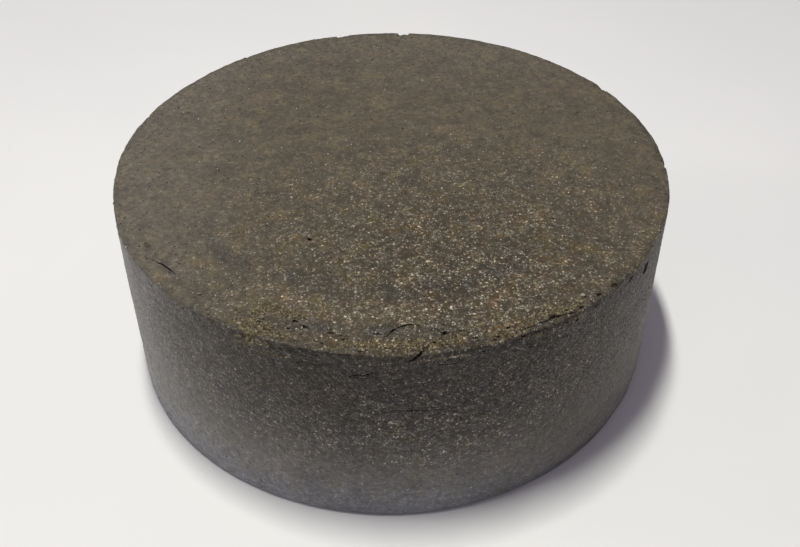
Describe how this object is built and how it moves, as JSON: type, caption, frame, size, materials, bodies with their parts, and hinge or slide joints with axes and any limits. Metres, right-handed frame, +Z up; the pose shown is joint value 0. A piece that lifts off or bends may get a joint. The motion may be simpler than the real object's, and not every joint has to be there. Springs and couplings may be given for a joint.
{
  "type": "rosin cake",
  "caption": "Short round cake of pressed resin grains, olive brown, with a crumbly lip whose front has cracked into flakes seated on the body, and a flat resting face.",
  "frame": {"origin": "centre of the flat face that the cake rests on", "axes": "+Z up along the cake's axis through its top face, -Y towards the cracked stretch of the lip"},
  "size_m": [0.05, 0.05, 0.0194],
  "materials": {
    "pressed_resin": "matt, fine-grained, compacted resin",
    "cracked_lip": "matt, ochre brown, crumbly",
    "crumbs": "pale amber grains, slightly glossy"
  },
  "bodies": {
    "root": {"cake_body": "pressed_resin", "lip_flake_left": "cracked_lip", "lip_flake_front_left": "cracked_lip", "lip_flake_front": "cracked_lip", "lip_flake_front_right": "cracked_lip", "lip_flake_right": "cracked_lip", "loose_crumbs": "crumbs"}
  },
  "joints": []
}
